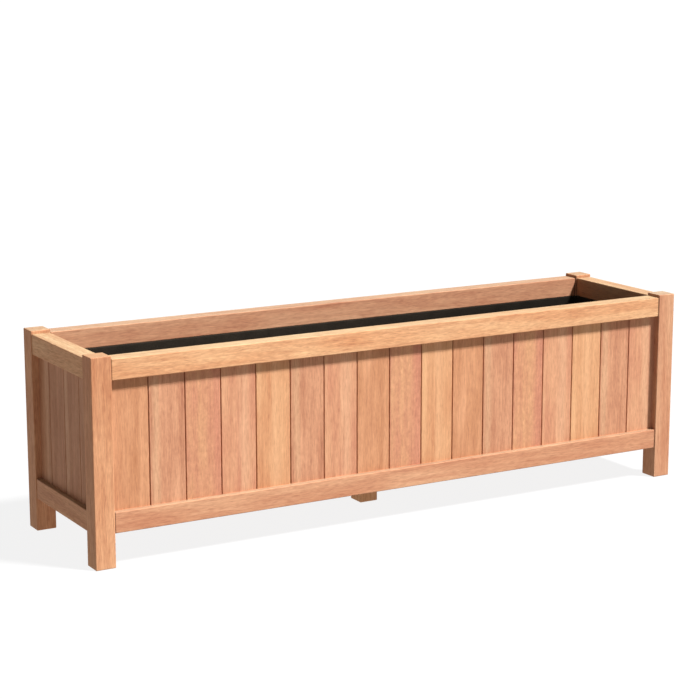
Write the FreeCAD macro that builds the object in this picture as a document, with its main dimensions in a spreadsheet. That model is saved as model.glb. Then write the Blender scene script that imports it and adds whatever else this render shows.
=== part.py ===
import FreeCAD, Part
import os
from collections import namedtuple
import Sketcher
from FreeCAD import Rotation, Vector

# A long hardwood trough planter: four corner posts, a top and a bottom rail on each side,
# upright tongue-and-groove boards held in the frame, a slatted floor on cross bearers,
# a leg under the middle and a black liner hung from the top rails.
# +Z is up, X runs along the length, the front faces -Y, and the origin is on the ground
# at the middle. Lengths are in millimetres.

sizes = {
    # Over the posts
    "length": 2000,
    "depth": 500,
    "height": 597,
    # Corner posts
    "post_side": 60,
    "post_round": 2.5,
    # Rails: their outer faces lie behind the post faces, and the posts stand above them
    "rail_height": 60,
    "rail_thickness": 55,
    "rail_round": 2.5,
    "rail_setback": 2,
    "post_proud": 9,
    "ground_gap": 98,
    # Tenons of the rails, and the wood left between two mortises that meet in a post
    "tenon_thickness": 16,
    "tenon_shoulder": 7,
    "mortise_wall": 4,
    # Wall boards, and how far they stand in the grooves of the rails and posts
    "board_thickness": 20,
    "board_ease": 1,
    "board_reveal": 3,
    "tongue_thickness": 6,
    "tongue_length": 9,
    "tongue_spare": 1,
    "board_seat": 10,
    "seat_spare": 2,
    # Cross bearers under the floor
    "bearer_width": 60,
    "bearer_height": 38,
    "bearer_end_gap": 15,
    "bearer_tenon_height": 18,
    "bearer_tenon_length": 15,
    # Floor slats
    "slat_thickness": 18,
    "slat_gap": 6,
    "slat_end_gap": 2,
    # Leg under the middle bearer
    "leg_side": 60,
    "leg_round": 2.5,
    "leg_tenon_side": 30,
    "leg_tenon_length": 12,
    # Floor screws, and the wood left below their points
    "screw_head": 8,
    "screw_shank": 4,
    "screw_point": 6,
    "screw_cover": 12,
    # Liner
    "liner_thickness": 1.2,
    "liner_gap": 0.5,
    "liner_hem": 16,
    # Tacks in the hem of the liner
    "tack_head": 8,
    "tack_head_height": 1,
    "tack_shank": 2,
    "tack_bite": 12,
    # Clearance on each side of a wooden fit
    "fit_gap": 0.2,
}

# Widths of the boards of a wall, from left to right as seen from outside, against each other
long_board_shares = [1.043] + 15 * [1.0] + [0.925]
end_board_shares = [0.736, 1.0, 1.0, 0.736]
# Places of the bearers between the middle and the outermost ones
bearer_shares = [-1.0, -0.5, 0.0, 0.5, 1.0]
# Blunt end of a screw against its shank
screw_tip_share = 0.1

slat_count = 5
long_tack_count = 12
end_tack_count = 3

doc = FreeCAD.newDocument("WoodenPlanter")
sheet = doc.addObject("Spreadsheet::Sheet", "Sizes")
for row, (name, value) in enumerate(sizes.items(), start=1):
    sheet.set(f"A{row}", name)
    sheet.set(f"B{row}", str(value))
    sheet.setAlias(f"B{row}", name)
doc.recompute()

# Levels above the ground
low_rail_top = "(Sizes.ground_gap + Sizes.rail_height)"
top_rail_top = "(Sizes.height - Sizes.post_proud)"
top_rail_base = f"({top_rail_top} - Sizes.rail_height)"
slat_base = "(Sizes.ground_gap + Sizes.bearer_height)"
floor_top = f"({slat_base} + Sizes.slat_thickness)"

# Depths into a wall, from the outer faces of its posts
wall_middle = "(Sizes.post_side / 2)"
board_face = f"({wall_middle} - Sizes.board_thickness / 2)"
board_back = f"({wall_middle} + Sizes.board_thickness / 2)"
rail_back = "(Sizes.rail_setback + Sizes.rail_thickness)"
wall_back = f"max(Sizes.post_side; {rail_back})"
liner_face = f"({wall_back} + Sizes.liner_gap)"
tack_line = f"({liner_face} - Sizes.liner_hem / 2)"

# Clear lengths
long_run = "(Sizes.length - 2 * Sizes.post_side)"
end_run = "(Sizes.depth - 2 * Sizes.post_side)"
bearer_run = f"(Sizes.depth - 2 * {rail_back})"
floor_length = f"(Sizes.length - 2 * {wall_back})"
floor_depth = f"(Sizes.depth - 2 * {wall_back})"

# Joinery
groove_depth = "(Sizes.board_seat + Sizes.seat_spare)"
groove_front = f"({board_face} - Sizes.fit_gap)"
groove_back = f"({board_back} + Sizes.fit_gap)"
tenon_length = "((Sizes.post_side - Sizes.tenon_thickness) / 2 - Sizes.mortise_wall)"
tenon_front = f"({wall_middle} - Sizes.tenon_thickness / 2)"
tenon_back = f"({wall_middle} + Sizes.tenon_thickness / 2)"
tenon_height = f"(Sizes.rail_height - {groove_depth} - 2 * Sizes.tenon_shoulder)"
bearer_tenon_base = "((Sizes.bearer_height - Sizes.bearer_tenon_height) / 2)"
screw_offset = "((Sizes.leg_tenon_side + Sizes.bearer_width) / 4)"
screw_bite = "(Sizes.bearer_height - Sizes.screw_cover)"
countersink = "((Sizes.screw_head - Sizes.screw_shank) / 2)"
countersink_angle = -45

Wall = namedtuple("Wall", "name turn x y run board_shares tack_count")
walls = [
    Wall("front", 0, "0", "-Sizes.depth / 2", long_run, long_board_shares, long_tack_count),
    Wall("right", 90, "Sizes.length / 2", "0", end_run, end_board_shares, end_tack_count),
    Wall("back", 180, "0", "Sizes.depth / 2", long_run, long_board_shares, long_tack_count),
    Wall("left", 270, "-Sizes.length / 2", "0", end_run, end_board_shares, end_tack_count),
]
pieces = []


def measure(expression):
    return float(sheet.evalExpression(expression))


def new_piece(label, x="0", y="0", z="0", turn=0, solids=1):
    body = doc.addObject("PartDesign::Body", label)
    body.Label = label
    body.Placement = FreeCAD.Placement(Vector(), Rotation(Vector(0, 0, 1), turn))
    for axis, place in zip("xyz", (x, y, z)):
        body.setExpression(f"Placement.Base.{axis}", place)
    pieces.append((body, solids))
    return body


def new_sketch(body, plane="XY_Plane", lift="0"):
    support = next(feature for feature in body.Origin.OriginFeatures if feature.Role == plane)
    sketch = body.newObject("Sketcher::SketchObject", "Sketch")
    sketch.AttachmentSupport = [(support, "")]
    sketch.MapMode = "FlatFace"
    sketch.setExpression("AttachmentOffset.Base.z", lift)
    return sketch


def bind(sketch, constraint, expression):
    index = sketch.addConstraint(constraint)
    sketch.setExpression(f"Constraints[{index}]", expression)


def draw_outline(sketch, corners):
    points = [Vector(measure(x), measure(y), 0) for x, y in corners]
    ends = points[1:] + points[:1]
    first = sketch.GeometryCount
    count = len(points)
    sketch.addGeometry([Part.LineSegment(start, end) for start, end in zip(points, ends)], False)
    sketch.addConstraint(
        [Sketcher.Constraint("Coincident", first + i, 2, first + (i + 1) % count, 1) for i in range(count)]
    )
    for i, ((x, y), point) in enumerate(zip(corners, points)):
        bind(sketch, Sketcher.Constraint("DistanceX", -1, 1, first + i, 1, point.x), x)
        bind(sketch, Sketcher.Constraint("DistanceY", -1, 1, first + i, 1, point.y), y)


def draw_rectangle(sketch, left, front, right, back):
    draw_outline(sketch, [(left, front), (right, front), (right, back), (left, back)])


def draw_circles(sketch, places, diameter):
    for x, y in places:
        centre = Vector(measure(x), measure(y), 0)
        ring = sketch.addGeometry(Part.Circle(centre, Vector(0, 0, 1), measure(diameter) / 2), False)
        bind(sketch, Sketcher.Constraint("DistanceX", -1, 1, ring, 3, centre.x), x)
        bind(sketch, Sketcher.Constraint("DistanceY", -1, 1, ring, 3, centre.y), y)
        bind(sketch, Sketcher.Constraint("Diameter", ring, measure(diameter)), diameter)


def add_pad(body, sketch, length, **settings):
    pad = body.newObject("PartDesign::Pad", "Pad")
    pad.Profile = sketch
    pad.setExpression("Length", length)
    for name, value in settings.items():
        setattr(pad, name, value)
    return pad


def cut_pocket(body, sketch, length, upward=True, taper=0):
    pocket = body.newObject("PartDesign::Pocket", "Pocket")
    pocket.Profile = sketch
    pocket.Reversed = upward
    pocket.TaperAngle = taper
    pocket.setExpression("Length", length)


def round_edges(body, feature, radius, chosen):
    doc.recompute()
    edges = feature.Shape.Edges
    names = [f"Edge{i}" for i, edge in enumerate(edges, start=1) if chosen(edge.CenterOfMass)]
    fillet = body.newObject("PartDesign::Fillet", "Fillet")
    fillet.Base = (feature, names)
    fillet.setExpression("Radius", radius)


def build_post(label, turn, x, y):
    # Two neighbouring faces each have two mortises and a groove between them.
    body = new_piece(label, x, y, "0", turn)
    square = new_sketch(body)
    draw_rectangle(square, "0", "0", "Sizes.post_side", "Sizes.post_side")
    blank = add_pad(body, square, "Sizes.height")
    round_edges(body, blank, "Sizes.post_round", lambda centre: True)

    def cut_both_faces(base, height, depth, front, back):
        bottom = f"Sizes.post_side - {depth}"
        openings = new_sketch(body, lift=base)
        draw_rectangle(openings, bottom, front, "Sizes.post_side", back)
        draw_rectangle(openings, front, bottom, back, "Sizes.post_side")
        cut_pocket(body, openings, height)

    mortise = (
        f"{tenon_height} + 2 * Sizes.fit_gap",
        f"({tenon_length} + Sizes.fit_gap)",
        f"{tenon_front} - Sizes.fit_gap",
        f"{tenon_back} + Sizes.fit_gap",
    )
    cut_both_faces("Sizes.ground_gap + Sizes.tenon_shoulder - Sizes.fit_gap", *mortise)
    cut_both_faces(f"{top_rail_top} - Sizes.tenon_shoulder - {tenon_height} - Sizes.fit_gap", *mortise)
    groove_base = f"{low_rail_top} - {groove_depth}"
    groove_length = f"{top_rail_base} - {low_rail_top} + 2 * {groove_depth}"
    cut_both_faces(groove_base, groove_length, groove_depth, groove_front, groove_back)


def tack_places(wall):
    gaps = [(i + 0.5) / wall.tack_count - 0.5 for i in range(wall.tack_count)]
    return [(f"{gap} * {wall.run}", tack_line) for gap in gaps]


def bearer_places():
    reach = f"({floor_length} / 2 - Sizes.bearer_end_gap - Sizes.bearer_width / 2)"
    return [f"{share} * {reach}" for share in bearer_shares]


def build_rail(label, wall, base, board_side):
    # board_side is the edge that takes the boards: the underside or the top.
    body = new_piece(label, wall.x, wall.y, base, wall.turn)
    section = new_sketch(body, "YZ_Plane")
    front = "Sizes.rail_setback"
    edge = {"underside": "0", "top": "Sizes.rail_height"}[board_side]
    far_edge = {"underside": "Sizes.rail_height", "top": "0"}[board_side]
    floor = {"underside": groove_depth, "top": f"Sizes.rail_height - {groove_depth}"}[board_side]
    draw_outline(section, [
        (front, edge), (groove_front, edge), (groove_front, floor), (groove_back, floor),
        (groove_back, edge), (rail_back, edge), (rail_back, far_edge), (front, far_edge),
    ])
    blank = add_pad(body, section, wall.run, SideType="Symmetric")
    # Its long arrises and those of its shoulders are rounded, and the mouth of its groove is sharp.
    outer_sides = [
        [measure(f"-{wall.run} / 2"), measure(f"{wall.run} / 2")],
        [measure(front), measure(rail_back)],
        [0, measure("Sizes.rail_height")],
    ]

    def on_arris(centre):
        off_sides = [min(abs(place - side) for side in sides) for place, sides in zip(centre, outer_sides)]
        return sorted(off_sides)[1] < Part.Precision.confusion()

    round_edges(body, blank, "Sizes.rail_round", on_arris)
    tenon_base = {"underside": f"Sizes.rail_height - Sizes.tenon_shoulder - {tenon_height}",
                  "top": "Sizes.tenon_shoulder"}[board_side]
    tenon = new_sketch(body, "YZ_Plane")
    draw_rectangle(tenon, tenon_front, tenon_base, tenon_back, f"{tenon_base} + {tenon_height}")
    add_pad(body, tenon, f"{wall.run} + 2 * {tenon_length}", SideType="Symmetric")
    return body


def build_top_rail(wall):
    body = build_rail(f"top_rail_{wall.name}", wall, top_rail_base, "underside")
    holes = new_sketch(body)
    draw_circles(holes, tack_places(wall), "Sizes.tack_shank + 2 * Sizes.fit_gap")
    cut_pocket(body, holes, "Sizes.tack_bite + Sizes.fit_gap")


def build_bottom_rail(wall):
    body = build_rail(f"bottom_rail_{wall.name}", wall, "Sizes.ground_gap", "top")
    if wall.run is long_run:
        mortises = new_sketch(body, lift=f"{bearer_tenon_base} - Sizes.fit_gap")
        for place in bearer_places():
            draw_rectangle(
                mortises,
                f"{place} - Sizes.bearer_width / 2 - Sizes.fit_gap",
                f"{rail_back} - Sizes.bearer_tenon_length - Sizes.fit_gap",
                f"{place} + Sizes.bearer_width / 2 + Sizes.fit_gap",
                rail_back,
            )
        cut_pocket(body, mortises, "Sizes.bearer_tenon_height + 2 * Sizes.fit_gap")


def build_boards(wall):
    # Each board has a groove on its left and a tongue on its right, apart from the plain
    # edges that stand in the posts. It rests on the floor of the bottom rail's groove.
    base = f"{low_rail_top} - {groove_depth}"
    length = f"{top_rail_base} + Sizes.board_seat - ({base})"
    total = sum(wall.board_shares)
    tongue_front = f"{wall_middle} - Sizes.tongue_thickness / 2"
    tongue_back = f"{wall_middle} + Sizes.tongue_thickness / 2"
    tongue_room = "(Sizes.tongue_length - Sizes.board_reveal + Sizes.tongue_spare)"
    done = 0
    for number, share in enumerate(wall.board_shares, start=1):
        is_first = number == 1
        is_last = number == len(wall.board_shares)
        seam_left = f"({done / total} - 0.5) * {wall.run}"
        done += share
        seam_right = f"({done / total} - 0.5) * {wall.run}"
        left = f"({seam_left} {'- Sizes.board_seat' if is_first else '+ Sizes.board_reveal / 2'})"
        right = f"({seam_right} {'+ Sizes.board_seat' if is_last else '- Sizes.board_reveal / 2'})"
        groove = [
            (left, f"{tongue_back} + Sizes.fit_gap"),
            (f"{left} + {tongue_room}", f"{tongue_back} + Sizes.fit_gap"),
            (f"{left} + {tongue_room}", f"{tongue_front} - Sizes.fit_gap"),
            (left, f"{tongue_front} - Sizes.fit_gap"),
        ]
        tongue = [
            (right, tongue_front),
            (f"{right} + Sizes.tongue_length", tongue_front),
            (f"{right} + Sizes.tongue_length", tongue_back),
            (right, tongue_back),
        ]
        right_edge = [
            (f"{right} - Sizes.board_ease", board_face),
            (right, f"{board_face} + Sizes.board_ease"),
            *([] if is_last else tongue),
            (right, f"{board_back} - Sizes.board_ease"),
            (f"{right} - Sizes.board_ease", board_back),
        ]
        left_edge = [
            (f"{left} + Sizes.board_ease", board_back),
            (left, f"{board_back} - Sizes.board_ease"),
            *([] if is_first else groove),
            (left, f"{board_face} + Sizes.board_ease"),
            (f"{left} + Sizes.board_ease", board_face),
        ]
        body = new_piece(f"{wall.name}_board_{number:02d}", wall.x, wall.y, base, wall.turn)
        section = new_sketch(body)
        draw_outline(section, right_edge + left_edge)
        add_pad(body, section, length)


def build_leg():
    body = new_piece("centre_leg")
    half = "Sizes.leg_side / 2"
    square = new_sketch(body)
    draw_rectangle(square, f"-{half}", f"-{half}", half, half)
    blank = add_pad(body, square, "Sizes.ground_gap")
    top = measure("Sizes.ground_gap")
    round_edges(body, blank, "Sizes.leg_round", lambda centre: centre.z < top - Part.Precision.confusion())
    half_tenon = "Sizes.leg_tenon_side / 2"
    tenon = new_sketch(body, lift="Sizes.ground_gap")
    draw_rectangle(tenon, f"-{half_tenon}", f"-{half_tenon}", half_tenon, half_tenon)
    add_pad(body, tenon, "Sizes.leg_tenon_length")


def slat_places():
    width = f"(({floor_depth} - {slat_count + 1} * Sizes.slat_gap) / {slat_count})"
    pitch = f"({width} + Sizes.slat_gap)"
    middles = [f"{i - (slat_count - 1) / 2} * {pitch}" for i in range(slat_count)]
    return width, middles


def screw_places():
    # The screws of neighbouring slats stand on either side of the bearer's middle.
    slat_middles = slat_places()[1]
    sides = ["+" if i % 2 else "-" for i in range(slat_count)]
    return [
        (f"{bearer} {side} {screw_offset}", middle)
        for bearer in bearer_places()
        for side, middle in zip(sides, slat_middles)
    ]


def build_bearers():
    body = new_piece("floor_bearers", z="Sizes.ground_gap", solids=len(bearer_shares))
    half_width = "Sizes.bearer_width / 2"
    half_run = f"{bearer_run} / 2"
    half_tenons = f"({half_run} + Sizes.bearer_tenon_length)"
    bars = new_sketch(body)
    tenons = new_sketch(body, lift=bearer_tenon_base)
    for place in bearer_places():
        left = f"{place} - {half_width}"
        right = f"{place} + {half_width}"
        draw_rectangle(bars, left, f"-{half_run}", right, half_run)
        draw_rectangle(tenons, left, f"-{half_tenons}", right, half_tenons)
    add_pad(body, bars, "Sizes.bearer_height")
    add_pad(body, tenons, "Sizes.bearer_tenon_height")
    half_mortise = "(Sizes.leg_tenon_side / 2 + Sizes.fit_gap)"
    mortise = new_sketch(body)
    draw_rectangle(mortise, f"-{half_mortise}", f"-{half_mortise}", half_mortise, half_mortise)
    cut_pocket(body, mortise, "Sizes.leg_tenon_length + Sizes.fit_gap")
    holes = new_sketch(body, lift="Sizes.screw_cover - Sizes.fit_gap")
    draw_circles(holes, screw_places(), "Sizes.screw_shank + 2 * Sizes.fit_gap")
    cut_pocket(body, holes, f"{screw_bite} + Sizes.fit_gap")


def build_slats():
    body = new_piece("floor_slats", z=slat_base, solids=slat_count)
    width, middles = slat_places()
    half_length = f"({floor_length} / 2 - Sizes.slat_end_gap)"
    bars = new_sketch(body)
    for middle in middles:
        draw_rectangle(
            bars, f"-{half_length}", f"{middle} - {width} / 2", half_length, f"{middle} + {width} / 2"
        )
    add_pad(body, bars, "Sizes.slat_thickness")
    holes = new_sketch(body)
    draw_circles(holes, screw_places(), "Sizes.screw_shank + 2 * Sizes.fit_gap")
    cut_pocket(body, holes, "Sizes.slat_thickness")
    sinks = new_sketch(body, lift="Sizes.slat_thickness")
    draw_circles(sinks, screw_places(), "Sizes.screw_head + 2 * Sizes.fit_gap")
    cut_pocket(body, sinks, countersink, upward=False, taper=countersink_angle)


def build_screws():
    # Heads lie level with the slats, and the points stop inside the bearers.
    body = new_piece("floor_screws", z="Sizes.ground_gap", solids=len(screw_places()))
    top = "(Sizes.bearer_height + Sizes.slat_thickness)"
    point_top = "(Sizes.screw_cover + Sizes.screw_point)"
    shanks = new_sketch(body, lift=point_top)
    draw_circles(shanks, screw_places(), "Sizes.screw_shank")
    add_pad(body, shanks, f"{top} - {point_top}")
    heads = new_sketch(body, lift=top)
    draw_circles(heads, screw_places(), "Sizes.screw_head")
    add_pad(body, heads, countersink, Reversed=True, TaperAngle=countersink_angle)
    points = new_sketch(body, lift=point_top)
    draw_circles(points, screw_places(), "Sizes.screw_shank")
    cones = add_pad(body, points, "Sizes.screw_point", Reversed=True)
    slope = f"(1 - {screw_tip_share}) * Sizes.screw_shank / 2 / Sizes.screw_point"
    cones.setExpression("TaperAngle", f"-atan({slope})")


def around(wall, along, inward):
    # A place in a wall, as a place in the planter
    return {
        0: (along, f"{wall.y} + ({inward})"),
        90: (f"{wall.x} - ({inward})", along),
        180: (f"-({along})", f"{wall.y} - ({inward})"),
        270: (f"{wall.x} + ({inward})", f"-({along})"),
    }[wall.turn]


def all_tack_places():
    return [around(wall, *place) for wall in walls for place in tack_places(wall)]


def build_liner():
    # An open bag on the floor slats. Its hem turns out under the top rails between the posts.
    body = new_piece("liner", z=floor_top)
    height = f"({top_rail_base} - {floor_top})"
    half_x = f"(Sizes.length / 2 - {liner_face})"
    half_y = f"(Sizes.depth / 2 - {liner_face})"
    outside = new_sketch(body)
    draw_rectangle(outside, f"-{half_x}", f"-{half_y}", half_x, half_y)
    add_pad(body, outside, height)
    inner_x = f"({half_x} - Sizes.liner_thickness)"
    inner_y = f"({half_y} - Sizes.liner_thickness)"
    inside = new_sketch(body, lift="Sizes.liner_thickness")
    draw_rectangle(inside, f"-{inner_x}", f"-{inner_y}", inner_x, inner_y)
    cut_pocket(body, inside, height)
    hem = new_sketch(body, lift=f"{height} - Sizes.liner_thickness")
    for wall in walls:
        end = f"({wall.run} / 2 - Sizes.liner_gap)"
        start = around(wall, f"-{end}", f"{liner_face} - Sizes.liner_hem")
        finish = around(wall, end, f"{liner_face} + Sizes.liner_thickness")
        draw_rectangle(hem, *start, *finish)
    add_pad(body, hem, "Sizes.liner_thickness")
    holes = new_sketch(body, lift=f"{height} - Sizes.liner_thickness")
    draw_circles(holes, all_tack_places(), "Sizes.tack_shank + 2 * Sizes.fit_gap")
    cut_pocket(body, holes, "Sizes.liner_thickness")


def build_tacks():
    base = f"{top_rail_base} - Sizes.liner_thickness - Sizes.tack_head_height"
    body = new_piece("liner_tacks", z=base, solids=len(all_tack_places()))
    heads = new_sketch(body)
    draw_circles(heads, all_tack_places(), "Sizes.tack_head")
    add_pad(body, heads, "Sizes.tack_head_height")
    shanks = new_sketch(body, lift="Sizes.tack_head_height")
    draw_circles(shanks, all_tack_places(), "Sizes.tack_shank")
    add_pad(body, shanks, "Sizes.liner_thickness + Sizes.tack_bite")


def check_pieces():
    doc.recompute()
    for thing in doc.Objects:
        if {"Invalid", "Error"} & set(thing.State):
            raise RuntimeError(f"{thing.Label} failed: {thing.State}")
        if thing.TypeId == "PartDesign::Pocket":
            removed = thing.BaseFeature.Shape.Volume - thing.Shape.Volume
            if removed <= 0:
                raise RuntimeError(f"{thing.Label} cuts nothing")
    for body, solids in pieces:
        if body.Shape.isNull() or not body.Shape.isValid():
            raise RuntimeError(f"{body.Label} has no valid shape")
        if len(body.Shape.Solids) != solids:
            raise RuntimeError(f"{body.Label} has {len(body.Shape.Solids)} solids, not {solids}")


build_post("post_front_left", 0, "-Sizes.length / 2", "-Sizes.depth / 2")
build_post("post_front_right", 90, "Sizes.length / 2", "-Sizes.depth / 2")
build_post("post_back_right", 180, "Sizes.length / 2", "Sizes.depth / 2")
build_post("post_back_left", 270, "-Sizes.length / 2", "Sizes.depth / 2")
for wall in walls:
    build_top_rail(wall)
    build_bottom_rail(wall)
    build_boards(wall)
build_leg()
build_bearers()
build_slats()
build_screws()
build_liner()
build_tacks()
check_pieces()

os.makedirs("parts", exist_ok=True)
for body, solids in pieces:
    body.Shape.exportStep(os.path.join("parts", f"{body.Label}.step"))
    print(body.Label, "solids:", solids, "volume:", round(body.Shape.Volume), "mm3")
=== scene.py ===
import math
import bmesh
import bpy
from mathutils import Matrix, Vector, noise


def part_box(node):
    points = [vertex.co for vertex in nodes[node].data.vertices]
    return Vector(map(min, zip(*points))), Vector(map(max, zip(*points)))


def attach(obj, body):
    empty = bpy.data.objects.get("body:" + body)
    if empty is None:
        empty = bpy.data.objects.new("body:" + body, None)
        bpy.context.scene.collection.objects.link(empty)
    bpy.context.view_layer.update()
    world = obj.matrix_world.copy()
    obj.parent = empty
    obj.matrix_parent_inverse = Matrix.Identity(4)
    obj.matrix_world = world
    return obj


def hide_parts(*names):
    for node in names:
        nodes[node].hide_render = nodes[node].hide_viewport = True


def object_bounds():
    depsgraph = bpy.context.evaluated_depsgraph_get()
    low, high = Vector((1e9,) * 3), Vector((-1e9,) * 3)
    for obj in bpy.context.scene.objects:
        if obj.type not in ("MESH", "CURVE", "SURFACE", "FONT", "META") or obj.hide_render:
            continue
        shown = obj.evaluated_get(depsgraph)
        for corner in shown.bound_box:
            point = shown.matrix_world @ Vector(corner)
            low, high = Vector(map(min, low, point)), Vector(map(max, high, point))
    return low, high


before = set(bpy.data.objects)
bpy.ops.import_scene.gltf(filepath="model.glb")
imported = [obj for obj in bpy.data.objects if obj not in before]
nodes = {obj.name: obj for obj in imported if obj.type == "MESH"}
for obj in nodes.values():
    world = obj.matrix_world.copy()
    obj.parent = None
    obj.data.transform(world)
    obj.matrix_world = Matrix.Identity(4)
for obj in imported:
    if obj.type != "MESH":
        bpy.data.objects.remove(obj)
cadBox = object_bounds()
scene = bpy.context.scene
scene.view_settings.view_transform = "Standard"
mm = 0.001
white = (1, 1, 1, 1)
print("frame loaded,", len(nodes), "pieces")


def toLinear(hexColour):   # sRGB hex to linear red, green, blue
    parts = [int(hexColour[i:i + 2], 16) / 255 for i in (1, 3, 5)]
    return [p / 12.92 if p <= 0.04045 else ((p + 0.055) / 1.055) ** 2.4 for p in parts]


def addNode(tree, kind, settings={}, links={}):   # settings are properties, links are sockets or values
    node = tree.nodes.new("ShaderNode" + kind)
    for name, value in settings.items():
        setattr(node, name, value)
    for name, value in links.items():
        if isinstance(value, bpy.types.NodeSocket):
            tree.links.new(value, node.inputs[name])
        else:
            node.inputs[name].default_value = value
    return node


def newMaterial(name):
    material = bpy.data.materials.new(name)
    material.use_nodes = True
    material.node_tree.nodes.clear()
    return material, material.node_tree


# Oiled hardwood, planed. Close straight fibres, slow pink and straw bands, a faint curl in some boards,
# short open pores that read as dark flecks, and a soft sheen with no gloss.
hardwood = {
    # patterns, with their sizes in mm
    "wander": {"along": 420, "across": 80, "swing": 14},   # slow bend of the grain
    "band": {"along": 700, "across": 34, "detail": 1.0},
    "cloud": {"along": 190, "across": 60, "detail": 2.0},
    "line": {"along": 240, "across": 11, "detail": 2.0},
    "fibre": {"along": 27, "across": 3.4, "detail": 2.0},   # drawn coarser than real, which is under a pixel
    "hair": {"along": 60, "across": 1.0, "detail": 1.0},    # the real fibres, for a close look
    "curl": {"along": 13, "across": 9, "detail": 2.0},
    "pore": {"along": 24, "across": 2.4, "detail": 0.0},    # also drawn coarser, for the same reason
    "patternRoughness": 0.6,
    "ring": {"across": 5, "through": 20, "noise": (0.3, 0.7), "swing": 0.08},   # growth rings, on end grain
    # how far the patterns reach from the deep to the pale colour, and how much they shade it
    "bandMix": 1.3, "cloudMix": 1.3, "lineMix": 0.7,
    "lineShade": 0.17, "fibreShade": 0.26, "hairShade": 0.16, "poreShade": 0.12, "endShade": 0.99,
    "porePeak": (0.56, 0.72),     # the part of the noise that is a pore
    "redShare": 0.7,              # how much of the shading reaches red
    "streakWave": 0.3,            # how far a streak wanders, as a share of the board's width
    # tints by place; the tint of faces that look up and the dark at rail shoulders are painted shade
    "facing": (0.7, 0.95),        # cosines from which a face is end grain or looks up, a little and in full
    "paintedTopShade": (0.765, 0.94, 0.99), "endGrain": (0.97, 1.04, 1.08), "paintedShoulderShade": 0.45,
    "thrown": (0.5, 0.43, 0.37),
    "seam": (2, 6),               # mm, up to the first the light is thrown in full
    # surface
    "roughness": 0.56, "roughSwing": 0.06, "roughNoise": (0.25, 0.75), "specular": 0.12,
    "bump": 0.3, "bumpHeight": 0.2,   # mm
}
grainAxes = {"x": (0, 1, 2), "y": (1, 2, 0), "z": (2, 0, 1), "zEnd": (2, 1, 0)}   # along, across, through


def perMetre(pattern):   # texture scale along, across and through the grain
    return [1 / (pattern[side] * mm) for side in ("along", "across", "across")]


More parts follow.
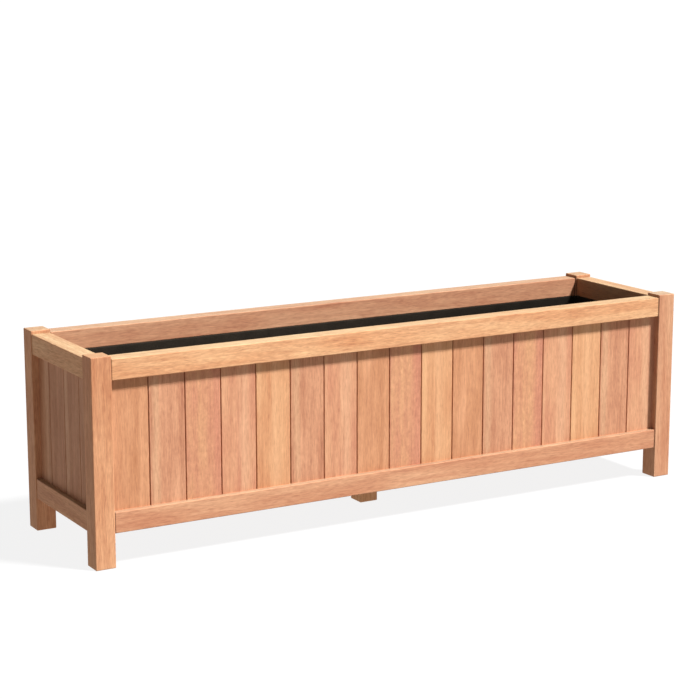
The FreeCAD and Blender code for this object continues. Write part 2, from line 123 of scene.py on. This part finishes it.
def makeHardwood(name, grain):
    look = hardwood
    material, tree = newMaterial(name)
    traits = {}
    for key in ("cut", "figure", "streak", "drift", "shoulder", "deepColour", "paleColour", "sapColour"):
        traits[key] = addNode(tree, "Attribute", {"attribute_type": "OBJECT", "attribute_name": key})
    figure, streak, drift, shoulder = (
        addNode(tree, "SeparateXYZ", links={0: traits[key].outputs["Vector"]}).outputs
        for key in ("figure", "streak", "drift", "shoulder"))
    place = addNode(tree, "TexCoord")
    split = addNode(tree, "SeparateXYZ", links={0: place.outputs["Object"]})
    boxed = addNode(tree, "SeparateXYZ", links={0: place.outputs["Generated"]})
    along, across, through = grainAxes[grain]

    # the grain runs at a slope, wanders, and differs from piece to piece
    sloped = addNode(tree, "Math", {"operation": "MULTIPLY_ADD"}, {
        0: split.outputs[along], 1: figure["Z"], 2: split.outputs[across]})
    lined = addNode(tree, "CombineXYZ", links={
        "X": split.outputs[along], "Y": sloped.outputs[0], "Z": split.outputs[through]})
    moved = addNode(tree, "VectorMath", {"operation": "ADD"}, {
        0: lined.outputs[0], 1: traits["cut"].outputs["Vector"]})
    stretched = addNode(tree, "Mapping", links={
        "Vector": moved.outputs[0], "Scale": perMetre(look["wander"])})
    bend = addNode(tree, "TexNoise", links={"Vector": stretched.outputs[0], "Scale": 1.0, "Detail": 1.0})
    centred = addNode(tree, "VectorMath", {"operation": "SUBTRACT"}, {
        0: bend.outputs["Color"], 1: (0.5, 0.5, 0.5)})
    swing = look["wander"]["swing"] * mm
    bent = addNode(tree, "VectorMath", {"operation": "MULTIPLY_ADD"}, {
        0: centred.outputs[0], 1: (0, swing, swing), 2: moved.outputs[0]})
    patterns = {}
    for key in ("band", "cloud", "line", "fibre", "hair", "curl", "pore"):
        stretched = addNode(tree, "Mapping", links={"Vector": bent.outputs[0], "Scale": perMetre(look[key])})
        patterns[key] = addNode(tree, "TexNoise", links={
            "Vector": stretched.outputs[0], "Scale": 1.0, "Detail": look[key]["detail"],
            "Roughness": look["patternRoughness"]}).outputs["Fac"]

    # which faces are end grain, and which look up
    geometry = addNode(tree, "NewGeometry")
    normal = addNode(tree, "SeparateXYZ", links={0: geometry.outputs["Normal"]})
    endOn = addNode(tree, "Math", {"operation": "ABSOLUTE"}, {0: normal.outputs[along]})
    isEnd, isUp = (
        addNode(tree, "MapRange", {"interpolation_type": "SMOOTHSTEP"}, {
            "Value": cosine, "From Min": look["facing"][0], "From Max": look["facing"][1]}).outputs[0]
        for cosine in (endOn.outputs[0], normal.outputs["Z"]))

    # how pale the wood is at a point: a drift from end to end, then bands, clouds and lines
    pale = addNode(tree, "Math", {"operation": "MULTIPLY_ADD"}, {
        0: boxed.outputs[along], 1: drift["Y"], 2: drift["X"]}).outputs[0]
    for key in ("band", "cloud", "line"):
        pale = addNode(tree, "Math", {"operation": "MULTIPLY_ADD", "use_clamp": key == "line"}, {
            0: patterns[key], 1: look[key + "Mix"], 2: pale}).outputs[0]
    wood = addNode(tree, "Mix", {"data_type": "RGBA"}, {
        0: pale, 6: traits["deepColour"].outputs["Color"], 7: traits["paleColour"].outputs["Color"]})

    # a streak of sapwood along some boards, or over the end of a post
    wavy = addNode(tree, "Math", {"operation": "MULTIPLY_ADD"}, {
        0: patterns["line"], 1: look["streakWave"], 2: boxed.outputs[across]})
    away = addNode(tree, "Math", {"operation": "SUBTRACT"}, {0: wavy.outputs[0], 1: streak["X"]})
    apart = addNode(tree, "Math", {"operation": "ABSOLUTE"}, {0: away.outputs[0]})
    inStreak = addNode(tree, "MapRange", {"interpolation_type": "SMOOTHSTEP"}, {
        "Value": apart.outputs[0], "From Min": streak["Y"], "From Max": 0.0,
        "To Min": 0.0, "To Max": streak["Z"]})
    isSap = addNode(tree, "Math", {"operation": "MULTIPLY_ADD", "use_clamp": True}, {
        0: isEnd, 1: drift["Z"], 2: inStreak.outputs[0]})
    streaked = addNode(tree, "Mix", {"data_type": "RGBA"}, {
        0: isSap.outputs[0], 6: wood.outputs[2], 7: traits["sapColour"].outputs["Color"]})

    # lines, fibres and curl shade the colour about one, then the pores, which are the peaks of their noise
    shade = -look["lineShade"] - look["fibreShade"] - look["hairShade"]
    for key in ("line", "fibre", "hair"):
        shade = addNode(tree, "Math", {"operation": "MULTIPLY_ADD"}, {
            0: patterns[key], 1: 2 * look[key + "Shade"], 2: shade}).outputs[0]
    lively = addNode(tree, "Math", {"operation": "MULTIPLY_ADD"}, {0: shade, 1: figure["Y"], 2: 1.0})
    curled = addNode(tree, "Math", {"operation": "SUBTRACT"}, {0: patterns["curl"], 1: 0.5})
    figured = addNode(tree, "Math", {"operation": "MULTIPLY_ADD"}, {
        0: curled.outputs[0], 1: figure["X"], 2: lively.outputs[0]})
    pore = addNode(tree, "MapRange", {"interpolation_type": "SMOOTHSTEP"}, {
        "Value": patterns["pore"], "From Min": look["porePeak"][0], "From Max": look["porePeak"][1]})
    pored = addNode(tree, "Math", {"operation": "MULTIPLY_ADD"}, {
        0: pore.outputs[0], 1: -look["poreShade"], 2: figured.outputs[0]})

    # end grain shows the growth rings
    ring = look["ring"]
    rings = addNode(tree, "Mapping", links={
        "Vector": bent.outputs[0], "Scale": [0, 1 / (ring["across"] * mm), 1 / (ring["through"] * mm)]})
    ringNoise = addNode(tree, "TexNoise", links={"Vector": rings.outputs[0], "Scale": 1.0, "Detail": 2.0})
    ringShade = addNode(tree, "MapRange", links={
        "Value": ringNoise.outputs["Fac"], "From Min": ring["noise"][0], "From Max": ring["noise"][1],
        "To Min": look["endShade"] - ring["swing"], "To Max": look["endShade"] + ring["swing"]})
    value = addNode(tree, "Mix", {"data_type": "FLOAT"}, {
        0: isEnd, 2: pored.outputs[0], 3: ringShade.outputs[0]})
    tint = addNode(tree, "VectorMath", {"operation": "MULTIPLY_ADD"}, {   # dark fibres are the redder ones
        0: value.outputs[0], 1: (look["redShare"], 1, 1), 2: (1 - look["redShare"], 0, 0)})
    colour = addNode(tree, "VectorMath", {"operation": "MULTIPLY"}, {
        0: streaked.outputs[2], 1: tint.outputs[0]}).outputs[0]

    # The wood throws less light on its neighbours than it shows, which keeps the corners free of an orange
    # glow. In the narrow seams it throws all of it, and they stay a warm brown.
    path = addNode(tree, "LightPath")
    beyondSeam = addNode(tree, "MapRange", {"interpolation_type": "SMOOTHSTEP"}, {
        "Value": path.outputs["Ray Length"],
        "From Min": look["seam"][0] * mm, "From Max": look["seam"][1] * mm})
    isThrown = addNode(tree, "Math", {"operation": "MULTIPLY"}, {
        0: path.outputs["Is Diffuse Ray"], 1: beyondSeam.outputs[0]})
    # faces that look up get painted shade, end grain is greyer, and rails get painted shade at their
    # shoulders
    for mask, tone in ((isUp, "paintedTopShade"), (isEnd, "endGrain"), (isThrown.outputs[0], "thrown")):
        toned = addNode(tree, "Mix", {"data_type": "RGBA"}, {0: mask, 6: white, 7: (*look[tone], 1)})
        colour = addNode(tree, "VectorMath", {"operation": "MULTIPLY"}, {
            0: colour, 1: toned.outputs[2]}).outputs[0]
    # painted shade near a rail's ends, where its rounded shoulder turns from the lamp
    fromMiddle = addNode(tree, "Math", {"operation": "ABSOLUTE"}, {0: split.outputs[along]})
    shoulderShaded = addNode(tree, "MapRange", {"interpolation_type": "SMOOTHSTEP"}, {
        "Value": fromMiddle.outputs[0], "From Min": shoulder["X"], "From Max": shoulder["Y"],
        "To Min": 1.0, "To Max": look["paintedShoulderShade"]})
    colour = addNode(tree, "VectorMath", {"operation": "SCALE"}, {
        0: colour, "Scale": shoulderShaded.outputs[0]}).outputs[0]

    height = addNode(tree, "Math", {"operation": "SUBTRACT"}, {0: patterns["fibre"], 1: pore.outputs[0]})
    bump = addNode(tree, "Bump", links={
        "Height": height.outputs[0], "Strength": look["bump"], "Distance": look["bumpHeight"] * mm})
    rough = addNode(tree, "MapRange", links={
        "Value": patterns["fibre"], "From Min": look["roughNoise"][0], "From Max": look["roughNoise"][1],
        "To Min": look["roughness"] + look["roughSwing"], "To Max": look["roughness"] - look["roughSwing"]})
    surface = addNode(tree, "BsdfPrincipled", links={
        "Base Color": colour, "Roughness": rough.outputs[0], "Normal": bump.outputs[0],
        "Specular IOR Level": look["specular"]})
    addNode(tree, "OutputMaterial", links={"Surface": surface.outputs[0]})
    return material


oiledHardwood = {grain: makeHardwood("oiledHardwoodPlaned_" + grain, grain) for grain in grainAxes}

# The timber that the pieces are cut from: its deep, pale and sapwood colours, its figure (curl, contrast,
# slope of the grain), which log it is, and its streak of sapwood (place across the board, reach, strength).
noStreak = (-1.0, 0.01, 0.0)
timbers = {
    "plain": {"deep": "#D3926A", "pale": "#EDAE84", "figure": (0.2, 0.9, 0.0), "log": 1},
    "striped": {"deep": "#CD8C6C", "pale": "#EDB08A", "figure": (0.3, 1.1, 0.0), "log": 2,
                "sap": "#EBBA92", "streak": (0.15, 0.18, 0.65)},
    "mottled": {"deep": "#DA9276", "pale": "#EEB587", "figure": (0.55, 0.7, 0.0), "log": 3,
                "sap": "#DE967A", "streak": (0.95, 0.6, 0.55)},
    "blush": {"deep": "#DC9576", "pale": "#EFB48B", "figure": (0.2, 1.0, 0.0), "log": 4,
              "sap": "#F5C098", "streak": (0.62, 0.24, 0.6)},
    "straw": {"deep": "#E09C71", "pale": "#F3BA8B", "figure": (0.2, 0.75, 0.0), "log": 9,
              "sap": "#FAC394", "streak": (0.50, 0.22, 0.7)},
    # the shade timber is the plain one made darker for the left wall, which stays out of the lamp: painted
    # shade
    "shade": {"deep": "#C88A66", "pale": "#E0A47F", "figure": (0.2, 0.8, 0.0), "log": 10, "sap": "#EBB48E"},
    "rim": {"deep": "#E7A375", "pale": "#F7C292", "figure": (0.15, 1.5, 0.05), "log": 6},
    "foot": {"deep": "#D69370", "pale": "#E6AD87", "figure": (0.1, 1.3, 0.03), "log": 7},
    "post": {"deep": "#D6926A", "pale": "#ECAF84", "figure": (0.1, 1.5, 0.0), "log": 8, "sap": "#E99E70"},
}
logStep = (3.17, 1.73, 2.39)   # m, from log to log in the pattern: along, across, through
cutStep = 0.21                 # m, from piece to piece along one log
far = 100.0                    # m, for pieces with no shoulder in sight
evenDrift = (0.0, 0.0, 0.0)
# painted shade at a rail's shoulder, where it meets a post, drawn broader than the real shade so that it
# shows
joint = {"reach": 5 * mm, "edge": 1 * mm}
pieceCount = {}


def dressWood(name, timber, grain, streak=None, drift=evenDrift, shoulder=far):
    # drift is how pale the low end is, the change to the other end, and how much sapwood is on the ends
    piece = nodes[name]
    piece.material_slots[0].material = oiledHardwood[grain]
    wood = timbers[timber]
    piece["deepColour"] = toLinear(wood["deep"])
    piece["paleColour"] = toLinear(wood["pale"])
    piece["sapColour"] = toLinear(wood.get("sap", wood["pale"]))
    place, reach, strength = streak or wood.get("streak", noStreak)
    piece["streak"] = [place + hardwood["streakWave"] / 2, reach, strength]
    piece["figure"] = list(wood["figure"])
    evenTone = 0.5 - 0.5 * (hardwood["bandMix"] + hardwood["cloudMix"] + hardwood["lineMix"])
    piece["drift"] = [evenTone + drift[0], drift[1], drift[2]]
    piece["shoulder"] = [shoulder - joint["reach"], shoulder - joint["edge"], 0.0]
    # pieces of one log are cut from other heights of it
    pieceCount[timber] = pieceCount.get(timber, 0) + 1
    low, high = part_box(name)
    cut = [step * wood["log"] - (low[a] + high[a]) / 2 for step, a in zip(logStep, grainAxes[grain])]
    cut[0] += cutStep * pieceCount[timber]
    piece["cut"] = cut


wallBoards = {   # left to right as seen from outside
    "front": "plain striped mottled blush straw striped blush plain mottled straw plain striped "
             "mottled blush straw striped blush",
    "back": "striped plain straw blush mottled plain striped straw blush mottled striped plain "
            "straw blush mottled plain straw",
    # the left wall takes the darker shade timber: painted shade
    "left": "shade shade shade shade",
    "right": "mottled striped plain straw",
}
leftStreaks = {1: (0.32, 0.24, 0.8), 3: (0.88, 0.17, 0.8), 4: (0.29, 0.24, 0.6)}   # by board of that wall
railTimbers = {"front": "rim", "right": "straw", "back": "foot", "left": "rim"}    # of the top rails
frontPost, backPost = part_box("post_front_left"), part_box("post_back_right")
for wall, kinds in wallBoards.items():
    longWall = wall in ("front", "back")
    for place, kind in enumerate(kinds.split(), start=1):
        streak = leftStreaks.get(place, noStreak) if wall == "left" else None
        dressWood(f"{wall}_board_{place:02d}", kind, "z" if longWall else "zEnd", streak)
    railGrain = "x" if longWall else "y"
    shoulder = backPost[0].x if longWall else backPost[0].y
    dressWood(f"top_rail_{wall}", railTimbers[wall], railGrain, noStreak, shoulder=shoulder)
    dressWood(f"bottom_rail_{wall}", "foot" if longWall else "post", railGrain, shoulder=shoulder)
dressWood("post_front_left", "post", "z", drift=(0.45, -0.85, 0.9))
dressWood("post_front_right", "foot", "z", drift=(0.15, 0.1, 0.0))
dressWood("post_back_right", "post", "z")
dressWood("post_back_left", "post", "z")
dressWood("centre_leg", "rim", "z")
dressWood("floor_bearers", "foot", "y")
dressWood("floor_slats", "plain", "x")
print("wood dressed,", sum(pieceCount.values()), "pieces")

# Zinc plated steel, bright with a dull bluish cast, and blued steel, dark with worn patches.
fastenerSteel = {
    "floor_screws": {"name": "zincPlatedSteel", "colour": "#B9BABA", "worn": "#8F9196",
                     "roughness": (0.28, 0.48)},
    "liner_tacks": {"name": "bluedSteel", "colour": "#3B3F46", "worn": "#6A6C70",
                    "roughness": (0.35, 0.55)},
}
spangle = 2.5   # mm, size of the patches in the plating
for piece, steel in fastenerSteel.items():
    material, tree = newMaterial(steel["name"])
    place = addNode(tree, "TexCoord")
    patches = addNode(tree, "TexNoise", links={
        "Vector": place.outputs["Object"], "Scale": 1 / (spangle * mm), "Detail": 2.0})
    colour = addNode(tree, "Mix", {"data_type": "RGBA"}, {
        0: patches.outputs["Fac"], 6: toLinear(steel["colour"]) + [1], 7: toLinear(steel["worn"]) + [1]})
    rough = addNode(tree, "MapRange", links={
        "Value": patches.outputs["Fac"], "To Min": steel["roughness"][0], "To Max": steel["roughness"][1]})
    surface = addNode(tree, "BsdfPrincipled", links={
        "Base Color": colour.outputs[2], "Roughness": rough.outputs[0], "Metallic": 1.0})
    addNode(tree, "OutputMaterial", links={"Surface": surface.outputs[0]})
    nodes[piece].material_slots[0].material = material
print("fasteners dressed")

# Liner: a bag of needled felt, tacked under the top rails, that hangs a little slack between the posts.
felt = {
    "thickness": 1.2 * mm,
    "gap": 0.5 * mm,          # between the cloth and the frame
    "cell": 13 * mm,          # size of the mesh faces
    "crease": 2 * mm,         # width of the crease where the hem turns out
    "corner": 16 * mm,        # rounding of the bottom and upright corners
    "squareTop": 60 * mm,     # the upright corners turn square over this height below the rails
    # walls: how far they belly out towards the boards, evenly and at random, and their upright folds
    "slack": 7 * mm, "slackShares": (0.55, 0.45),
    "slackWidth": 240 * mm, "slackHeight": 300 * mm, "slackSeed": 1.9,
    "fold": 5.5 * mm, "foldWidth": 80 * mm, "foldHeight": 400 * mm, "foldSeed": 7.7,
    # how near the corners, the bottom and the rails the walls are straight, and where they hang free
    "cornerClear": (10 * mm, 90 * mm), "bottomClear": (14 * mm, 90 * mm), "railClear": (6 * mm, 120 * mm),
    # bottom: its ripples, and how far from its ends and sides they are in full
    "lift": 5.0 * mm, "liftShare": 0.25, "rippleWidth": 120 * mm, "rippleStretch": 1.7, "rippleSeed": 3.1,
    "endClear": (0, 80 * mm), "sideClear": (0, 50 * mm),
}
linerLow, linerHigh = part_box("liner")
frontRail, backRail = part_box("top_rail_front"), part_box("top_rail_back")
leftRail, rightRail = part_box("top_rail_left"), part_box("top_rail_right")
half = felt["thickness"] / 2
gap = felt["gap"]
frameLow = [max(leftRail[1].x, frontPost[1].x), max(frontRail[1].y, frontPost[1].y)]
frameHigh = [min(rightRail[0].x, backPost[0].x), min(backRail[0].y, backPost[0].y)]
low = Vector([a + gap + half for a in frameLow] + [linerLow.z + half])
high = Vector([a - gap - half for a in frameHigh] + [linerHigh.z - half])
spans = [max(2, round((b - a) / felt["cell"])) for a, b in zip(low, high)]
rows = [[a + (b - a) * n / count for n in range(count + 1)] for a, b, count in zip(low, high, spans)]
rows[2].insert(-1, high.z - felt["crease"])   # keeps the crease of the hem narrow
spans[2] += 1
endX, endY, endZ = spans
mesh = bmesh.new()
grid = {}
for i in range(endX + 1):
    for j in range(endY + 1):
        for k in range(endZ + 1):
            if k == 0 or i in (0, endX) or j in (0, endY):
                grid[i, j, k] = mesh.verts.new((rows[0][i], rows[1][j], rows[2][k]))


def linerFace(*corners):
    mesh.faces.new([grid[c] for c in corners])


for i in range(endX):
    for j in range(endY):
        linerFace((i, j, 0), (i + 1, j, 0), (i + 1, j + 1, 0), (i, j + 1, 0))
for k in range(endZ):
    for i in range(endX):
        linerFace((i + 1, 0, k), (i, 0, k), (i, 0, k + 1), (i + 1, 0, k + 1))
        linerFace((i, endY, k), (i + 1, endY, k), (i + 1, endY, k + 1), (i, endY, k + 1))
    for j in range(endY):
        linerFace((0, j, k), (0, j + 1, k), (0, j + 1, k + 1), (0, j, k + 1))
        linerFace((endX, j + 1, k), (endX, j, k), (endX, j, k + 1), (endX, j + 1, k + 1))

# hem, turned out under the rails between the posts
hemSides = [
    ([(i, 0, endZ) for i in range(endX + 1)], Vector((0, linerLow.y - low.y + half, 0)), "x"),
    ([(i, endY, endZ) for i in range(endX, -1, -1)], Vector((0, linerHigh.y - high.y - half, 0)), "x"),
    ([(0, j, endZ) for j in range(endY, -1, -1)], Vector((linerLow.x - low.x + half, 0, 0)), "y"),
    ([(endX, j, endZ) for j in range(endY + 1)], Vector((linerHigh.x - high.x - half, 0, 0)), "y"),
]
for edge, outward, axis in hemSides:
    inside = [c for c in edge if getattr(frontPost[1], axis) + gap < getattr(grid[c].co, axis)
              < getattr(backPost[0], axis) - gap]
    strips = [[grid[c] for c in inside]]
    for step in (felt["crease"] / outward.length, 1.0):
        strips.append([mesh.verts.new(grid[c].co + outward * step) for c in inside])
    for near, out in zip(strips, strips[1:]):
        for a in range(len(near) - 1):
            mesh.faces.new((near[a + 1], near[a], out[a], out[a + 1]))


def ramp(distance, reach):   # 0 up to the first reach, 1 from the second
    t = min(1, max(0, (distance - reach[0]) / (reach[1] - reach[0])))
    return t * t * (3 - 2 * t)


# round the bottom and the upright corners, then let the cloth hang
radius = felt["corner"]
for (i, j, k), vert in grid.items():
    p = vert.co.copy()
    core = Vector((min(max(p.x, low.x + radius), high.x - radius),
                   min(max(p.y, low.y + radius), high.y - radius), max(p.z, low.z + radius)))
    off = p - core
    if (abs(off.x) > 0) + (abs(off.y) > 0) + (abs(off.z) > 0) > 1:
        share = ramp(high.z - p.z, (0, felt["squareTop"])) if off.z == 0 else 1
        p = p.lerp(core + off.normalized() * radius, share)
    onX, onY = i in (0, endX), j in (0, endY)
    if onX or onY:
        outward = Vector(((1 if i else -1) * onX, (1 if j else -1) * onY, 0)).normalized()
        place, start, end = (p.x, low.x, high.x) if onY else (p.y, low.y, high.y)
        free = (ramp(min(place - start, end - place), felt["cornerClear"])
                * ramp(p.z - low.z, felt["bottomClear"]) * ramp(high.z - p.z, felt["railClear"]))
        fold = noise.noise(Vector((place / felt["foldWidth"], p.z / felt["foldHeight"],
                                   felt["foldSeed"] + i * onX + 2 * j * onY)))
        belly = noise.noise(Vector((place / felt["slackWidth"], p.z / felt["slackHeight"],
                                    felt["slackSeed"] + j)))
        slack = felt["slack"] * (felt["slackShares"][0] + felt["slackShares"][1] * belly)
        p += outward * free * (slack + felt["fold"] * fold)
    else:
        ripple = noise.noise(
            Vector((p.x, p.y * felt["rippleStretch"], felt["rippleSeed"])) / felt["rippleWidth"])
        free = min(ramp(min(p.x - low.x, high.x - p.x), felt["endClear"]),
                   ramp(min(p.y - low.y, high.y - p.y), felt["sideClear"]))
        p.z += felt["lift"] * free * max(0, ripple + felt["liftShare"])
    vert.co = p

bag = bpy.data.meshes.new("liner_felt")
mesh.normal_update()
mesh.to_mesh(bag)
mesh.free()
liner = bpy.data.objects.new("liner_felt", bag)
scene.collection.objects.link(liner)
for face in bag.polygons:
    face.use_smooth = True
thick = liner.modifiers.new("thickness", "SOLIDIFY")
thick.thickness = felt["thickness"]
thick.offset = 0
print("liner made,", len(bag.vertices), "points")

# Black needled felt: a dull mat of fibres with no gloss, a little lint and pressed patches.
# It turns darker towards its right end.
feltLook = {
    "deep": "#1E1B16", "pale": "#423A31",
    "lint": 3.5, "lintShare": 1.4, "lintOffset": -0.45,   # mm, drawn coarser than real so that it shows
    "patch": 45, "patchShare": 0.5,                       # mm
    "darkeningSpan": (0.3, 1.0), "rightEndFactor": 0.55,                 # parts of the length, and the shade at the far end
    "roughness": 0.92, "specular": 0.1, "bump": 0.6, "bumpHeight": 0.6 * mm,
}
material, tree = newMaterial("blackNeedledFelt")
place = addNode(tree, "TexCoord")
lint = addNode(tree, "TexNoise", links={
    "Vector": place.outputs["Object"], "Scale": 1 / (feltLook["lint"] * mm), "Detail": 3.0, "Roughness": 0.7})
patch = addNode(tree, "TexNoise", links={
    "Vector": place.outputs["Object"], "Scale": 1 / (feltLook["patch"] * mm), "Detail": 1.0})
linty = addNode(tree, "Math", {"operation": "MULTIPLY_ADD"}, {
    0: lint.outputs["Fac"], 1: feltLook["lintShare"], 2: feltLook["lintOffset"]})
mixed = addNode(tree, "Math", {"operation": "MULTIPLY_ADD", "use_clamp": True}, {
    0: patch.outputs["Fac"], 1: feltLook["patchShare"], 2: linty.outputs[0]})
matted = addNode(tree, "Mix", {"data_type": "RGBA"}, {
    0: mixed.outputs[0], 6: toLinear(feltLook["deep"]) + [1], 7: toLinear(feltLook["pale"]) + [1]})
lengthwise = addNode(tree, "SeparateXYZ", links={0: place.outputs["Generated"]})
# darker towards the right end of the bag
darkerRightward = addNode(tree, "MapRange", {"interpolation_type": "SMOOTHSTEP"}, {
    "Value": lengthwise.outputs["X"], "From Min": feltLook["darkeningSpan"][0], "From Max": feltLook["darkeningSpan"][1],
    "To Min": 1.0, "To Max": feltLook["rightEndFactor"]})
colour = addNode(tree, "VectorMath", {"operation": "SCALE"}, {
    0: matted.outputs[2], "Scale": darkerRightward.outputs[0]})
bump = addNode(tree, "Bump", links={
    "Height": lint.outputs["Fac"], "Strength": feltLook["bump"], "Distance": feltLook["bumpHeight"]})
surface = addNode(tree, "BsdfPrincipled", links={
    "Base Color": colour.outputs[0], "Normal": bump.outputs[0], "Roughness": feltLook["roughness"],
    "Specular IOR Level": feltLook["specular"]})
addNode(tree, "OutputMaterial", links={"Surface": surface.outputs[0]})
bag.materials.append(material)

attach(liner, "root")
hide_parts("liner")


def seenDirectly(tree):   # 1 for what the camera sees, also in gloss and through glass, otherwise 0
    path = addNode(tree, "LightPath")
    seen = path.outputs["Is Camera Ray"]
    for kind in ("Is Glossy Ray", "Is Transmission Ray"):
        seen = addNode(tree, "Math", {"operation": "MAXIMUM"}, {0: seen, 1: path.outputs[kind]}).outputs[0]
    return seen


# Pale floor. The camera sees it nearly white with a faint shadow of the planter.
floorLook = {"reach": 160.0, "drop": 0.2 * mm, "bounce": "#A0A0A0", "seen": "#F4F4F4", "shadow": 0.13}
floorMesh = bpy.data.meshes.new("floor")
reach = floorLook["reach"]
floorMesh.from_pydata([(-reach, -reach, 0), (reach, -reach, 0), (reach, reach, 0), (-reach, reach, 0)], [],
                      [(0, 1, 2, 3)])
floor = bpy.data.objects.new("floor", floorMesh)
floor.location.z = cadBox[0].z - floorLook["drop"]
scene.collection.objects.link(floor)
floor.visible_diffuse = False   # its bounce comes from the world, which is brighter below
material, tree = newMaterial("paleStudioFloor")
lit = addNode(tree, "BsdfDiffuse", links={"Color": toLinear(floorLook["seen"]) + [1]})
glowing = addNode(tree, "Emission", links={"Color": white, "Strength": 1.0})
shown = addNode(tree, "MixShader", links={0: floorLook["shadow"], 1: glowing.outputs[0], 2: lit.outputs[0]})
plain = addNode(tree, "BsdfDiffuse", links={"Color": toLinear(floorLook["bounce"]) + [1]})
chosen = addNode(tree, "MixShader", links={0: seenDirectly(tree), 1: plain.outputs[0], 2: shown.outputs[0]})
addNode(tree, "OutputMaterial", links={"Surface": chosen.outputs[0]})
floorMesh.materials.append(material)

# A high lamp at the front right, a dim room above and the bounce of the pale floor below
light = {"towards": (0.93, -1.0, 1.885), "strength": 5.22, "softness": 8.5, "above": 0.10, "below": 0.50,
         "belowColour": "#FFF9F1", "horizon": 0.25}
lamp = bpy.data.lights.new("highLamp", "SUN")
lamp.energy = light["strength"]
lamp.angle = math.radians(light["softness"])
lampHolder = bpy.data.objects.new("highLamp", lamp)
lampHolder.rotation_mode = "QUATERNION"
lampHolder.rotation_quaternion = (-Vector(light["towards"])).to_track_quat("-Z", "Y")
scene.collection.objects.link(lampHolder)
world = bpy.data.worlds.new("evenSky")
scene.world = world
world.use_nodes = True
tree = world.node_tree
tree.nodes.clear()
seen = seenDirectly(tree)
direction = addNode(tree, "TexCoord")
heightOf = addNode(tree, "SeparateXYZ", links={0: direction.outputs["Generated"]})
upward = addNode(tree, "MapRange", {"interpolation_type": "SMOOTHSTEP"}, {
    "Value": heightOf.outputs["Z"], "From Min": -light["horizon"], "From Max": light["horizon"]})
glow = addNode(tree, "Mix", {"data_type": "FLOAT"}, {
    0: upward.outputs[0], 2: light["below"], 3: light["above"]})
strength = addNode(tree, "Mix", {"data_type": "FLOAT"}, {0: seen, 2: glow.outputs[0], 3: 1.0})
whiten = addNode(tree, "Math", {"operation": "MAXIMUM"}, {0: upward.outputs[0], 1: seen})
hue = addNode(tree, "Mix", {"data_type": "RGBA"}, {
    0: whiten.outputs[0], 6: toLinear(light["belowColour"]) + [1], 7: white})
sky = addNode(tree, "Background", links={"Color": hue.outputs[2], "Strength": strength.outputs[0]})
addNode(tree, "OutputWorld", links={"Surface": sky.outputs[0]})

# Camera where the photograph was taken from
view = {"place": (-2.9606, -5.0063, 1.6683), "turn": -30.157, "down": 11.606, "lens": 100.12, "sensor": 36,
        "farthest": 1000}
camera = bpy.data.cameras.new("camera")
camera.lens = view["lens"]
camera.sensor_width = view["sensor"]
camera.clip_end = view["farthest"]
cameraHolder = bpy.data.objects.new("camera", camera)
cameraHolder.location = view["place"]
cameraHolder.rotation_euler = [math.radians(a) for a in (90 - view["down"], 0, view["turn"])]
scene.collection.objects.link(cameraHolder)
scene.camera = cameraHolder
print("floor, light and camera set")
